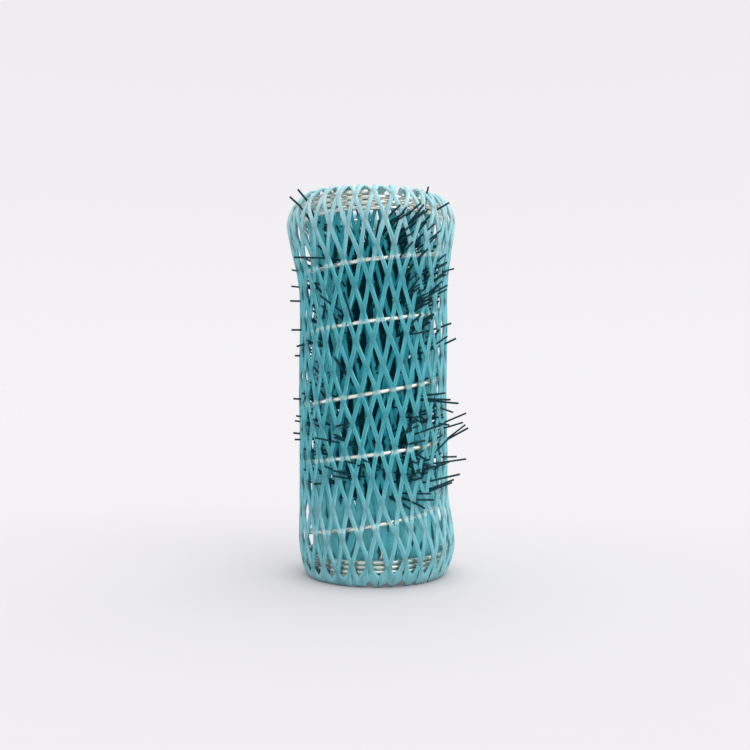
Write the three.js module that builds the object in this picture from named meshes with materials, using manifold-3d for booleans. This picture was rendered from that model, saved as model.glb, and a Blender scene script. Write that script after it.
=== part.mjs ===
// A brush roller for setting hair. A coil spring holds open a plastic net sleeve, whose two ends
// fold inward over the spring's closed end turns. A hairpin of twisted wire stands on the axis, and
// grips bristles that lean up and out through the net.
// Millimetres, +Z up. The origin is the middle of the ring that the roller stands on, and the front
// is the -Y side. Angles run round the axis from the front, growing towards +X.

import * as THREE from "three";
import { mergeVertices } from "three/addons/utils/BufferGeometryUtils.js";
import Module from "manifold-3d";

// Net sleeve
const LENGTH = 63;
const WAIST_RADIUS = 12.54; // outside of the net between its two bulges
const SHOULDER_RADIUS = 14.15; // outside of the net at its widest, near the top
const FOOT_RADIUS = 13.15; // outside of the net at its lower bulge
const FACE_OUTER_RADIUS = 12.0; // flat ring at each end, on which the roller can stand
const FACE_INNER_RADIUS = 11.0;
const TUCK_RADIUS = 10.1; // inside of the net where it is folded into the spring
const TUCK_DEPTH = 9;
const NET_THICKNESS = 0.56;
const LATTICE_BOTTOM = 0.8; // the lattice is cut off inside the folds, at this height
const LATTICE_TOP = 61.8; // and at this one
const FOLD_PROUD = 0.06; // how far the folds stand out from the lattice that they join
const FOLD_CORNER = 1; // height over which the tucked skin draws in from the flat face
const FOLD_LIP = 0.2; // extra thickness at the upper edge of the outer skin
const FACE_EXTRA = 0.15; // extra thickness of the flat face
// The outer skin of each fold as [radius, height above or below the roller's end].
const FOOT_SKIN = [
  [12.5, 1.2],
  [12.8, 2.7],
];
const CROWN_SKIN = [
  [12.5, 0.7],
  [13.3, 1.7],
  [13.83, 2.7],
];
const STRANDS = 18; // in each of the two directions
const STRAND_WIDTH = 1.6;
const RISING_TWIST = 0.0202; // radians per mm of height, on the strands that run up to the right
const FALLING_TWIST = 0.0285; // the same for those that run up to the left
const HOOP_SEGMENTS = 36;

// Wire spring
const SPRING_RADIUS = 11.3; // to the middle of the wire
const SPRING_WIRE = 0.6; // diameter
const STEPS_PER_TURN = 16;
// Height of the wire each time it passes the front, and how fast it climbs there in mm a turn. It
// lies closed at both ends and open between.
const SPRING_TURNS = [
  [1.7, 0.75],
  [2.45, 0.75],
  [3.2, 0.75],
  [3.95, 0.9],
  [9.74, 14.0],
  [20.75, 9.9],
  [30.4, 12.6],
  [41.7, 9.5],
  [51.3, 9.1],
  [59.35, 0.9],
  [60.1, 0.75],
  [60.85, 0.75],
  [61.6, 0.75],
];

// Twisted stem
const STEM_WIRE = 0.8; // diameter
const STEM_OFFSET = 0.75; // from the axis to the middle of each strand
const STEM_TWIST_PITCH = 6.5;
const STEM_BOTTOM = 8.8;
const STEM_TOP = 56;
const LOOP_EASE = 2.0; // height over which the twist builds up above the hairpin's bend
const STEM_STEPS = 110;
const STEM_BEND = 0.03; // share of the wire on each side of its middle that the bend takes

// Bristles
const TUFTS = 48;
const LOWEST_ROOT = 11.6;
const HIGHEST_ROOT = 53;
const GRIP_LENGTH = 3.2; // straight middle of a tuft, between the stem's strands
const GRIP_THICKNESS = 0.4;
const GRIP_OVERLAP = 0.05; // share of the grip's length that a bristle reaches into its end
const BRISTLE_RADIUS = 0.17;
const BRISTLE_TAPER = 0.7; // radius at the tip, as a share of that at the root
const BRISTLE_FAN = THREE.MathUtils.degToRad(17); // to each side of the grip's own direction
const LEAN = THREE.MathUtils.degToRad(27); // above the horizontal
const LEAN_SPREAD = THREE.MathUtils.degToRad(7);
const SHORT_REACH = 9.5; // a bristle that stays inside the net ends at this radius
const LONG_REACH = 14.2; // one that passes through the net ends at this radius or beyond
const EXTRA_REACH = 1.8;
const HIGHEST_TIP = 58.6; // leaves the roller's top end open
const WINDOW_SWAY = THREE.MathUtils.degToRad(12); // how far a bristle turns to find a window
const WINDOW_MARGIN = 2.5; // from the tucked net's edge to the nearest window that is used
const CLEARANCE = 0.15;

const wasm = await Module();
wasm.setup();

function toSolid(geometry) {
  const bare = geometry.clone();
  bare.deleteAttribute("normal");
  bare.deleteAttribute("uv");
  const merged = mergeVertices(bare, 1e-4);
  return new wasm.Manifold(
    new wasm.Mesh({
      numProp: 3,
      vertProperties: new Float32Array(merged.attributes.position.array),
      triVerts: new Uint32Array(merged.index.array),
    }),
  );
}

function toGeometry(solid) {
  const mesh = solid.getMesh();
  const geometry = new THREE.BufferGeometry();
  const positions = new Float32Array(mesh.vertProperties);
  geometry.setAttribute("position", new THREE.BufferAttribute(positions, 3));
  geometry.setIndex(new THREE.BufferAttribute(new Uint32Array(mesh.triVerts), 1));
  geometry.computeVertexNormals();
  return geometry;
}

function joined(geometries) {
  return toGeometry(geometries.map(toSolid).reduce((whole, piece) => whole.add(piece)));
}

function polar(angle, radius, height) {
  return new THREE.Vector3(radius * Math.sin(angle), -radius * Math.cos(angle), height);
}

// Net sleeve ------------------------------------------------------------------------------------

// Outside of the net as [height, radius], from one end to the other.
const OUTLINE = [
  [0, FACE_OUTER_RADIUS],
  [1.2, 12.5],
  [3, 12.85],
  [6, FOOT_RADIUS],
  [9, 12.95],
  [13, WAIST_RADIUS],
  [46.7, WAIST_RADIUS],
  [50, 12.85],
  [54, 13.6],
  [58, SHOULDER_RADIUS],
  [60, 13.95],
  [61.3, 13.3],
  [62.3, 12.5],
  [LENGTH, FACE_OUTER_RADIUS],
];

function netRadius(height) {
  const above = OUTLINE.findIndex(([z]) => z >= height);
  const [z1, r1] = OUTLINE[Math.max(above, 1)];
  const [z0, r0] = OUTLINE[Math.max(above, 1) - 1];
  return THREE.MathUtils.mapLinear(height, z0, z1, r0, r1);
}

const CELL_ANGLE = (2 * Math.PI) / STRANDS;
const ROW_HEIGHT = CELL_ANGLE / (RISING_TWIST + FALLING_TWIST);
const LOWEST_ROW = 2.6;
const ROWS = 1 + Math.round((LENGTH - 2 * LOWEST_ROW) / ROW_HEIGHT);
const CROSSING_ANGLE = Math.atan(((RISING_TWIST + FALLING_TWIST) / 2) * WAIST_RADIUS);
const KNOT_HALF_HEIGHT = STRAND_WIDTH / 2 / Math.sin(CROSSING_ANGLE);
const KNOT_HALF_ANGLE = STRAND_WIDTH / 2 / Math.cos(CROSSING_ANGLE) / WAIST_RADIUS;

function rowHeight(row) {
  return LOWEST_ROW + row * ROW_HEIGHT;
}

// Where strands cross: the rising strand with this number, in this row.
function crossingAngle(row, strand) {
  return strand * CELL_ANGLE + RISING_TWIST * row * ROW_HEIGHT;
}

// The lattice is one closed sheet. Each crossing is a diamond-shaped knot with a bottom, right, top
// and left corner, and a bar runs from it to each of the two crossings above.
function latticeGeometry() {
  const positions = [];
  const index = [];
  const corners = [
    [0, -1],
    [1, 0],
    [0, 1],
    [-1, 0],
  ];
  for (let row = 0; row < ROWS; row += 1) {
    for (let strand = 0; strand < STRANDS; strand += 1) {
      for (const inset of [0, NET_THICKNESS]) {
        for (const [across, up] of corners) {
          const angle = crossingAngle(row, strand) + across * KNOT_HALF_ANGLE;
          const height = rowHeight(row) + up * KNOT_HALF_HEIGHT;
          const z = THREE.MathUtils.clamp(height, LATTICE_BOTTOM, LATTICE_TOP);
          positions.push(...polar(angle, netRadius(z) - inset, z));
        }
      }
    }
  }
  const vertex = (row, strand, corner, layer) =>
    (row * STRANDS + ((strand + STRANDS) % STRANDS)) * 8 + layer * 4 + corner;
  const quad = (a, b, c, d) => index.push(a, b, c, a, c, d);
  // A patch is a loop of four [row, strand, corner], seen from outside and anticlockwise.
  const patch = (loop) => {
    quad(...loop.map((at) => vertex(...at, 0)));
    quad(...loop.map((at) => vertex(...at, 1)).reverse());
  };
  const edge = (from, to) =>
    quad(vertex(...to, 0), vertex(...from, 0), vertex(...from, 1), vertex(...to, 1));
  const [BOTTOM, RIGHT, TOP, LEFT] = [0, 1, 2, 3];
  for (let row = 0; row < ROWS; row += 1) {
    for (let s = 0; s < STRANDS; s += 1) {
      const knot = [BOTTOM, RIGHT, TOP, LEFT].map((corner) => [row, s, corner]);
      patch(knot);
      if (row === 0) {
        edge(knot[LEFT], knot[BOTTOM]);
        edge(knot[BOTTOM], knot[RIGHT]);
      }
      if (row === ROWS - 1) {
        edge(knot[RIGHT], knot[TOP]);
        edge(knot[TOP], knot[LEFT]);
        continue;
      }
      const rising = [knot[RIGHT], [row + 1, s, BOTTOM], [row + 1, s, LEFT], knot[TOP]];
      patch(rising);
      edge(rising[0], rising[1]);
      edge(rising[2], rising[3]);
      const falling = [knot[TOP], [row + 1, s - 1, RIGHT], [row + 1, s - 1, BOTTOM], knot[LEFT]];
      patch(falling);
      edge(falling[0], falling[1]);
      edge(falling[2], falling[3]);
    }
  }
  const geometry = new THREE.BufferGeometry();
  geometry.setAttribute("position", new THREE.Float32BufferAttribute(positions, 3));
  geometry.setIndex(index);
  return geometry;
}

// A ring from its closed section of [radius, height] points.
function ringGeometry(section) {
  const loop = [...section, section[0]].map(([radius, height]) => new THREE.Vector2(radius, height));
  return new THREE.LatheGeometry(loop, HOOP_SEGMENTS).rotateX(Math.PI / 2);
}

// The folded end: the outer skin, the flat face and the skin tucked back inside the spring. The
// section is given for an end at height 0 whose sleeve goes up, as the outer skin's few points.
function foldSection(skin) {
  const outerSkin = skin.map(([radius, height]) => [radius + FOLD_PROUD, height]);
  const [lipRadius, lipHeight] = outerSkin[outerSkin.length - 1];
  const tuckOutside = TUCK_RADIUS + NET_THICKNESS;
  const faceInside = NET_THICKNESS + FACE_EXTRA;
  return [
    [TUCK_RADIUS, TUCK_DEPTH],
    [TUCK_RADIUS, FOLD_CORNER],
    [FACE_INNER_RADIUS, 0],
    [FACE_OUTER_RADIUS, 0],
    ...outerSkin,
    [lipRadius - NET_THICKNESS - FOLD_LIP, lipHeight],
    [FACE_OUTER_RADIUS, faceInside],
    [FACE_INNER_RADIUS, faceInside],
    [tuckOutside, 2 * faceInside],
    [tuckOutside, TUCK_DEPTH],
  ];
}

function netSleeve() {
  const foot = foldSection(FOOT_SKIN);
  const crown = foldSection(CROWN_SKIN);
  const flipped = crown.map(([radius, height]) => [radius, LENGTH - height]).reverse();
  return joined([latticeGeometry(), ringGeometry(foot), ringGeometry(flipped)]);
}

// Wire spring -----------------------------------------------------------------------------------

const TURNS = SPRING_TURNS.length - 1;

// Height of the wire after a number of turns.
function springHeight(turns) {
  const at = Math.min(Math.floor(turns), TURNS - 1);
  const t = turns - at;
  const [[low, lowClimb], [high, highClimb]] = SPRING_TURNS.slice(at, at + 2);
  const curve = lowClimb + highClimb - 2 * (high - low);
  const bend = high - low - lowClimb - curve;
  return low + lowClimb * t + bend * t * t + curve * t * t * t;
}

class SpringPath extends THREE.Curve {
  getPoint(t, target = new THREE.Vector3()) {
    const turns = t * TURNS;
    return target.copy(polar(turns * 2 * Math.PI, SPRING_RADIUS, springHeight(turns)));
  }
}

// The heights at which the spring's wire passes an angle round the axis.
function springPasses(angle) {
  const part = THREE.MathUtils.euclideanModulo(angle / (2 * Math.PI), 1);
  return SPRING_TURNS.slice(1).map((_, turn) => springHeight(turn + part));
}

function wireGeometry(path, diameter, sides, steps) {
  path.arcLengthDivisions = steps * 10;
  const corners = Array.from({ length: sides }, (_, i) => {
    const angle = (i / sides) * 2 * Math.PI;
    return new THREE.Vector2(Math.cos(angle), Math.sin(angle)).multiplyScalar(diameter / 2);
  });
  const section = new THREE.Shape(corners);
  return new THREE.ExtrudeGeometry(section, { extrudePath: path, steps, bevelEnabled: false });
}

function wireSpring() {
  return joined([wireGeometry(new SpringPath(), SPRING_WIRE, 6, TURNS * STEPS_PER_TURN)]);
}

// Twisted stem ----------------------------------------------------------------------------------

// How far the stem's two strands have turned at a height. The twist eases in above the hairpin.
function stemAngle(height) {
  const up = Math.max(height - STEM_BOTTOM - STEM_OFFSET, 0);
  const eased = up - LOOP_EASE * (1 - Math.exp(-up / LOOP_EASE));
  return (eased / STEM_TWIST_PITCH) * 2 * Math.PI;
}

// One wire, down the first strand, round the hairpin's bend and up the second strand.
class StemPath extends THREE.Curve {
  getPoint(t, target = new THREE.Vector3()) {
    const bendTop = STEM_BOTTOM + STEM_OFFSET;
    const side = t < 0.5 ? -1 : 1;
    const away = Math.abs(t - 0.5);
    if (away > STEM_BEND) {
      const height = THREE.MathUtils.mapLinear(away, STEM_BEND, 0.5, bendTop, STEM_TOP);
      return target.copy(polar(stemAngle(height), side * STEM_OFFSET, height));
    }
    const swing = ((away / STEM_BEND) * Math.PI) / 2;
    const out = side * STEM_OFFSET * Math.sin(swing);
    return target.copy(polar(0, out, bendTop - STEM_OFFSET * Math.cos(swing)));
  }
}

function stemWire() {
  return joined([wireGeometry(new StemPath(), STEM_WIRE, 5, STEM_STEPS)]);
}

// Bristles --------------------------------------------------------------------------------------

// The open diamond of the net that is nearest to an angle and a height, as [angle, height].
function nearestWindow(angle, height) {
  const windows = [];
  for (let row = 1; row < ROWS - 1; row += 1) {
    const first = crossingAngle(row, 0) + CELL_ANGLE / 2;
    const strand = Math.round((angle - first) / CELL_ANGLE);
    windows.push([first + strand * CELL_ANGLE, rowHeight(row)]);
  }
  const miss = ([a, z]) => Math.hypot((a - angle) * WAIST_RADIUS, z - height);
  return windows.reduce((best, next) => (miss(next) < miss(best) ? next : best));
}

// A line from a grip's end to a point, run on or cut short so that it ends at a radius.
function lineTo(start, towards, reach) {
  const from = Math.hypot(start.x, start.y);
  const to = Math.hypot(towards.x, towards.y);
  return new THREE.Line3(start, start.clone().lerp(towards, (reach - from) / (to - from)));
}

// A bristle that passes out through the net's nearest window, or null where there is none: the
// tucked ends of the net are in its way, or the window is too far to one side.
function longBristle(start, angle, lean) {
  const rise = (WAIST_RADIUS - GRIP_LENGTH / 2) * Math.tan(lean);
  const [windowAngle, windowHeight] = nearestWindow(angle, start.z + rise);
  const overFootTuck = windowHeight > TUCK_DEPTH + WINDOW_MARGIN;
  const underTopTuck = windowHeight < LENGTH - TUCK_DEPTH - WINDOW_MARGIN;
  const inLine = Math.abs(windowAngle - angle) < WINDOW_SWAY;
  if (!overFootTuck || !underTopTuck || !inLine) return null;
  const wall = netRadius(windowHeight) - NET_THICKNESS / 2;
  const reach = LONG_REACH + EXTRA_REACH * Math.cos(2 * windowAngle) ** 2;
  return lineTo(start, polar(windowAngle, wall, windowHeight), reach);
}

// A bristle that ends inside the spring.
function shortBristle(start, angle, lean) {
  const rise = (SHORT_REACH - GRIP_LENGTH / 2) * Math.tan(lean);
  const height = Math.min(start.z + rise, HIGHEST_TIP);
  return lineTo(start, polar(angle, SHORT_REACH, height), SHORT_REACH);
}

function clearOfSpring(line) {
  const from = Math.hypot(line.start.x, line.start.y);
  const to = Math.hypot(line.end.x, line.end.y);
  const passing = line.at((SPRING_RADIUS - from) / (to - from), new THREE.Vector3());
  const gap = SPRING_WIRE / 2 + BRISTLE_RADIUS + CLEARANCE;
  const upright = gap / Math.cos(LEAN + LEAN_SPREAD);
  const angle = Math.atan2(passing.x, -passing.y);
  return springPasses(angle).every((height) => Math.abs(height - passing.z) > upright);
}

function clearOfOthers(line, others) {
  const gap = 2 * BRISTLE_RADIUS + CLEARANCE;
  return others.every((other) => line.distanceSqToLine3(other) > gap * gap);
}

function gripLine(root, angle) {
  return new THREE.Line3(
    polar(angle, -GRIP_LENGTH / 2, root),
    polar(angle, GRIP_LENGTH / 2, root),
  );
}

// Each tuft as its grip, the straight bundle between the stem's strands, and its bristles, two from
// each end of the grip. A bristle that would touch another is left out.
function layOutTufts() {
  const tufts = [];
  for (let i = 0; i < TUFTS; i += 1) {
    const root = THREE.MathUtils.mapLinear(i, 0, TUFTS - 1, LOWEST_ROOT, HIGHEST_ROOT);
    const angle = stemAngle(root) + Math.PI / 2;
    tufts.push({ angle, grip: gripLine(root, angle), bristles: [] });
  }
  const linesAwayFrom = (start, own) =>
    tufts
      .flatMap((tuft) => [tuft.grip, ...tuft.bristles])
      .filter((line) => line !== own.grip && line.start !== start);
  for (const [i, tuft] of tufts.entries()) {
    for (const side of [0, 1]) {
      const start = tuft.grip.at(side === 0 ? 1 - GRIP_OVERLAP : GRIP_OVERLAP, new THREE.Vector3());
      const others = linesAwayFrom(start, tuft);
      for (const place of [-1, 1]) {
        const angle = tuft.angle + side * Math.PI + place * BRISTLE_FAN;
        const lean = LEAN + LEAN_SPREAD * Math.sin(2.4 * i + 2 * place + 3 * side);
        const long = longBristle(start, angle, lean);
        const short = shortBristle(start, angle, lean);
        if (long && clearOfSpring(long) && clearOfOthers(long, others)) tuft.bristles.push(long);
        else if (clearOfOthers(short, others)) tuft.bristles.push(short);
      }
    }
  }
  return tufts;
}

function gripGeometry({ angle, grip }) {
  const middle = grip.getCenter(new THREE.Vector3());
  return new THREE.BoxGeometry(GRIP_THICKNESS, GRIP_LENGTH, GRIP_THICKNESS)
    .rotateZ(angle)
    .translate(middle.x, middle.y, middle.z);
}

function bristleGeometry(line) {
  const along = line.delta(new THREE.Vector3());
  const length = along.length();
  const upright = new THREE.Vector3(0, 1, 0);
  const turn = new THREE.Quaternion().setFromUnitVectors(upright, along.normalize());
  const middle = line.getCenter(new THREE.Vector3());
  return new THREE.CylinderGeometry(BRISTLE_RADIUS * BRISTLE_TAPER, BRISTLE_RADIUS, length, 3)
    .applyQuaternion(turn)
    .translate(middle.x, middle.y, middle.z);
}

function bristleTuft(tuft) {
  return joined([gripGeometry(tuft), ...tuft.bristles.map(bristleGeometry)]);
}

// Materials and the finished roller -------------------------------------------------------------

const turquoisePlastic = new THREE.MeshStandardMaterial({
  color: 0x4fb4c0,
  roughness: 0.35,
  metalness: 0,
  transparent: true,
  opacity: 0.85,
});
const springSteel = new THREE.MeshStandardMaterial({
  color: 0xc9c7b4,
  roughness: 0.25,
  metalness: 1,
});
const stemSteel = new THREE.MeshStandardMaterial({
  color: 0xb4b6b8,
  roughness: 0.3,
  metalness: 1,
});
const bristleNylon = new THREE.MeshStandardMaterial({
  color: 0x0c2a30,
  roughness: 0.45,
  metalness: 0,
});

function part(name, geometry, material) {
  const mesh = new THREE.Mesh(geometry, material);
  mesh.name = name;
  return mesh;
}

const roller = new THREE.Group();
roller.add(part("net_sleeve", netSleeve(), turquoisePlastic));
roller.add(part("wire_spring", wireSpring(), springSteel));

const brush = new THREE.Group();
brush.add(part("stem_wire", stemWire(), stemSteel));
layOutTufts().forEach((tuft, i) => {
  const number = String(i + 1).padStart(2, "0");
  brush.add(part(`bristle_tuft_${number}`, bristleTuft(tuft), bristleNylon));
});
roller.add(brush);

export default roller;
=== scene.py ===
"""A brush roller for setting hair: a coil spring in a translucent net sleeve, with a brush of twisted
wire and nylon bristles down its middle. Metres, +Z up, front towards -Y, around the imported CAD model.
Angles run round the axis from the front, growing towards +X."""

import math

import bpy
import numpy as np
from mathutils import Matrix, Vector


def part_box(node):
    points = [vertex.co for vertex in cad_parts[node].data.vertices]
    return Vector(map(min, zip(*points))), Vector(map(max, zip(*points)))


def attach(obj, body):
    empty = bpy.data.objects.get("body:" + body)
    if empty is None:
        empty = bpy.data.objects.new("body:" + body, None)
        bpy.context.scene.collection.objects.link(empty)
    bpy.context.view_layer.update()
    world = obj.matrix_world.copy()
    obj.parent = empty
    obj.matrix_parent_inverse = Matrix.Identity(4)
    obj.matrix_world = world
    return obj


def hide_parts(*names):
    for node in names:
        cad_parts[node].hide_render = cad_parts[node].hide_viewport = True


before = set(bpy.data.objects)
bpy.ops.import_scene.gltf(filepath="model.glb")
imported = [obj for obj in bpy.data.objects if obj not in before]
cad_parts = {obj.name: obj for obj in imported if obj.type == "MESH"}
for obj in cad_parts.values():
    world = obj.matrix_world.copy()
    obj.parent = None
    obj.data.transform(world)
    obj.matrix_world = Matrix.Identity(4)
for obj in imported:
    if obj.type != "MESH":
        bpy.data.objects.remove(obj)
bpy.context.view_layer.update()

MM = 0.001
TAU = 2 * math.pi

net_low, net_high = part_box("net_sleeve")
LENGTH = (net_high.z - net_low.z) / MM
FLOOR_Z = net_low.z

# Everything below is in millimetres and radians until a mesh is made. A run is a distance along the
# net from the edge that is tucked into its foot. A name that ends in _AT gives a place, and how far
# to both sides of it the thing named reaches.

# Net sleeve: its shape
STRAND_WIDTH = 0.67
STRAND_THICKNESS = 0.44
STRAND_LIFT = 0.005  # each set of strands lies this far from the net's middle surface
WAIST = 12.25  # radius of the net's middle surface between its bulges
TUCK = 10.75  # and where it is folded into the spring
TUCK_DEPTH = 32.5
TUCK_START = 0.8  # run inside a fold at which the tucked end begins
TUCK_EASE = 4.0  # and over which it becomes fully so
FOOT_TURN = 0.03  # how far all the strands are turned to the left where they fold round the foot
FOOT_TURN_REACH = 5
DIP_AT = (44.5, 11)  # run above the foot's fold at which the falling strands swing to the left
SWAYS = [(0.014, 5.3), (0.009, 2.9), (0.012, 11)]  # angle and slowness of a strand's small wanders
TUCK_SLACK = 1.5  # share by which they grow in the tucked ends
TUCK_SLACK_EASE = 6
SCALLOP = 0.24  # how far the top's fold stands up where two strands pull it together, and dips between
SCALLOP_MIDDLE = math.radians(5.9)
SCALLOP_REACH = 1.3
FOOT_LEAN = 0.65  # how far the net and the spring stand to the right of the axis near the foot
FOOT_LEAN_AT = (4.5, 6.5)
TOP_LEAN = -0.36  # and near the top
TOP_LEAN_AT = (57.5, 6)
# Slow waves in the net: size, how many go round it, how fast they turn along it, and phase.
RIPPLES = [(0.05, 3, 0.21, 0), (0.04, 5, -0.33, 1)]
CRUMPLES = [(0.25, 4, 0.5, 0), (0.15, 9, -0.8, 0)]
CRUMPLE_DEPTH = 0.25  # how far in the tucked ends' waves lie
FOLD_EASE = 5  # run over which the waves grow, outwards from each fold
CRUMPLE_START = 2  # and inwards from this far inside it

# Net sleeve: shares by which its strands are wider than STRAND_WIDTH
WEB = 0.4  # where a strand is fused to one that crosses it
WEB_REACH = 0.8
GRAIN_START = 0.09  # run from such a crossing at which a strand's own grain and edges begin to show
GRAIN_EASE = 0.9
UNEVEN = 0.05  # by a small wave along every strand
UNEVEN_TURN = 0.9  # how far that wave turns in a millimetre
UNEVEN_STEP = 2.1  # and from one strand to the next
FOOT_SPREAD = 0.85  # just inside the foot
CROWN_SPREAD = -0.2  # just inside the top
SPREAD_DEPTH = 12  # how deep inside the folds these two last
SPREAD_EASE = 6  # and the run over which they fade away
SIDE_SPREAD = 1.2  # in both tucked ends where they are bunched, at the roller's two sides
TOP_FOLD_SPREAD = 0.9
TOP_FOLD_AT = (0.1, 0.8)  # run past the fold
FOOT_FOLD_SPREAD = 1.9  # all round the foot's fold but for the teeth
FOOT_FOLD_AT = (0.8, 1.0)
# The teeth are the strands' ends that stand apart at the foot's front, below a fused band.
TEETH_MIDDLE = math.radians(9)
TEETH_END = 0.935  # cosine of the turn from their middle at which the last one has gone
TEETH_EASE = 0.018
TEETH_SPREAD = 1.8
TEETH_SPREAD_AT = (1.8, 0.8)
TEETH_TAPER = 0.4  # share by which they narrow again towards their points
TEETH_TAPER_AT = (-0.2, 0.9)

# Net sleeve: how pale painted light makes it, from 0 for plain to 1; the paleness stands for light, not
# for the plastic's own colour
TOP_PALE_HEIGHT = 50  # the upper bulge grows paler from here, painted light falling on it from above and through it
TOP_PALE_EASE = 11
BULGE_PALE = 0.36  # round the lower bulge, painted light bounced up from the floor
BULGE_TUCK_PALE = 0.25  # and how much more so on the tucked end inside it
BULGE_AT = (8.5, 6.5)
# painted light bounced up from the floor onto the foot
FOOT_PALE = 0.35
FOOT_PALE_REACH = 2.6
RIGHT_PALE = 0.2  # on the side that faces the light
RIGHT_PALE_FROM = 0.6  # sine of the angle at which that side begins
RIGHT_PALE_EASE = 0.35
SIDE_PALE = 0.7  # on the tucked ends at the roller's two sides, where they are bunched: painted light that stands for light coming through them from behind

# Net sleeve: where the wire that lies right behind it shows through, painted into the strands as a paler
# colour
BACKED_GAP = 0.198  # height between a strand's middle and the wire's, up to which it does so fully
BACKED_EASE = 0.22
BACKED_FRONT = 0.4  # size of the cosine of the angle from which it does so, towards front and back
BACKED_FRONT_EASE = 0.35
BACKED_LOW = 4.5  # height from which it does so
BACKED_HIGH = 56  # and up to which
BACKED_END_EASE = 2

# Net sleeve: its mesh
MERIDIAN_STEPS = 12  # between two points of MERIDIAN
STRAND_SIDES = 8
SECTION_POWER = 0.6  # under 1 gives a strand's section flatter faces than an ellipse
FOLD_REACH = 3.2  # run to both sides of a fold where a strand's sections are closest together
FOLD_STEP = 0.27
TUCK_SECTIONS = 18
OUTSIDE_SECTIONS = 72
OUT_STEP = 0.1  # a step out of the net's surface that gives its normal
NEAR_WIRE = (-0.55, -0.33, -0.15, 0.15, 0.33, 0.55)  # runs of the extra sections at each turn of wire
GRAIN_STEP = 3.7  # how far a strand's grain is from its neighbour's in the material's noise
GRAIN_FALLING = 100  # and a falling strand's from a rising one's

# Spring
SPRING_RADIUS = 11.62
SPRING_WIRE = 0.72
SPRING_SIDES = 16
SPRING_STEPS = 60  # in each turn
PACK_START = 57.3  # the wire above this height belongs to the closed turns at the top
# Height of the wire each time it passes the front, and how fast it climbs there in mm a turn.
SPRING_TURNS = [
    (1.7, 0.75),
    (2.45, 0.75),
    (3.2, 0.75),
    (3.95, 0.9),
    (9.74, 14.0),
    (20.75, 9.9),
    (30.4, 12.6),
    (41.7, 9.5),
    (51.3, 9.1),
    (59.4, 0.9),
    (60.24, 0.84),
    (61.08, 0.83),
    (61.9, 0.82),
]

# Stem
STEM_WIRE = 0.8
STEM_OFFSET = 0.75  # of each strand's middle from the axis
STEM_TWIST_PITCH = 6.5
STEM_BOTTOM = 8.8
STEM_TOP = 56
LOOP_EASE = 2.0  # height over which the twist sets in above the loop at the bottom
STEM_SIDES = 12
STEM_STEPS = 240  # in each strand
LOOP_STEPS = 14

# Bristles
BRISTLE = 0.32  # diameter
BRISTLE_SIZES = (0.9, 1.08)  # and how far it varies
BRISTLE_SIDES = 6
INNER_POINTS = 6  # on an end that stays inside the net
THROUGH_POINTS = 9  # and, up to the net, on one that passes it
GRIP = 0.4  # height of the CAD tuft's grip, whose lower face is the tuft's lowest point
FILAMENTS = 10  # in each tuft, each with two ends, besides those in SPRAYS
BRISTLE_SEED = 7
ROOT_STRAY = 0.45  # how far up or down a filament's root may be from its tuft's
ROOT_RADIUS = 0.55
ROOT_JITTER = 0.06
FAN = 0.42  # how far round either end may turn from the grip's direction
LEAN = 0.5  # an end's rise above the horizontal
LEAN_STRAY = 0.17
INNER_REACH = (7, 11.9)  # radius at which the tips that stay inside the net end
INNER_TOP = LENGTH - 2.5
BEHIND_WIRE = 10.9  # and at most, where the spring's wire is less than WIRE_ROOM away in height
WIRE_ROOM = 0.7
BOW = 0.3
BACK_ARC = -0.5  # cosine of the angle beyond which ends may leave through the net's back
BACK_SHARE = 0.4  # and the share of them that do
BACK_TOP = LENGTH - 4  # height up to which they do
SHORT_TIP = (0.3, 0.9)  # length of their tips outside the net
LONG_TIP = (0.9, 2.4)
TIP_STRAY = 0.1
WINDOW_REACH = 0.31  # how far from a diamond's middle one may pass, as a share of the strands' spacing
FOOT_ROOM = 2.5  # run from the foot's fold below which none passes
CROWN_ROOM = 0.8  # and from the top's
PASSING_ROOM = 0.6  # height between one that passes the spring and the spring's wire
TOP_PACK = 58.8  # above this the spring's turns are closed, and bristles pass below them
UNDER_PACK = 0.9  # how far below
PAST_SPRING = 0.2  # and how far outside the wire's middle they turn up
HEADING_STRAY = 4  # degrees, of the bristles in SPRAYS
LENGTH_SHARES = (0.75, 1.15)  # and of the length of those that are not on their own
ROOT_RISE = 0.6  # a bowed filament rises to the net at this share of its tip's angle
LEAST_RISE = 0.1


def polar(angle, radius, height):
    """A point, or an array of the coordinates of many."""
    return np.array([radius * np.sin(angle), -radius * np.cos(angle), height])


def hump(value, middle, reach):
    """1 at the middle, falling away smoothly to both sides."""
    return np.exp(-(((value - middle) / reach) ** 2))


def fade(value, start, ease):
    """0 up to the start, and rising evenly from there to 1."""
    return np.clip((value - start) / ease, 0, 1)


def mesh_object(name, points, faces):
    """A smooth-shaded object of these points, in millimetres."""
    mesh = bpy.data.meshes.new(name)
    mesh.from_pydata([tuple(p) for p in np.asarray(points) * MM], [], faces)
    mesh.update()
    mesh.shade_smooth()
    piece = bpy.data.objects.new(name, mesh)
    bpy.context.scene.collection.objects.link(piece)
    return piece


# Spring ------------------------------------------------------------------------------------------


def spring_height(turns):
    """Height of the wire after a number of turns."""
    at = min(int(turns), len(SPRING_TURNS) - 2)
    (low, low_climb), (high, high_climb) = SPRING_TURNS[at : at + 2]
    t = turns - at
    rise = high - low
    curve = low_climb + high_climb - 2 * rise
    bend = rise - low_climb - curve
    return low + low_climb * t + bend * t**2 + curve * t**3


TURNS = len(SPRING_TURNS) - 1


def spring_gap(angle, height):
    """How far a height is from the spring's wire at an angle."""
    part = (angle / TAU) % 1
    return min(abs(spring_height(turn + part) - height) for turn in range(TURNS))


def spring_gaps(angles, heights):
    """The same for many angles and heights."""
    return np.array([spring_gap(angle, height) for angle, height in zip(angles, heights)])


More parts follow.
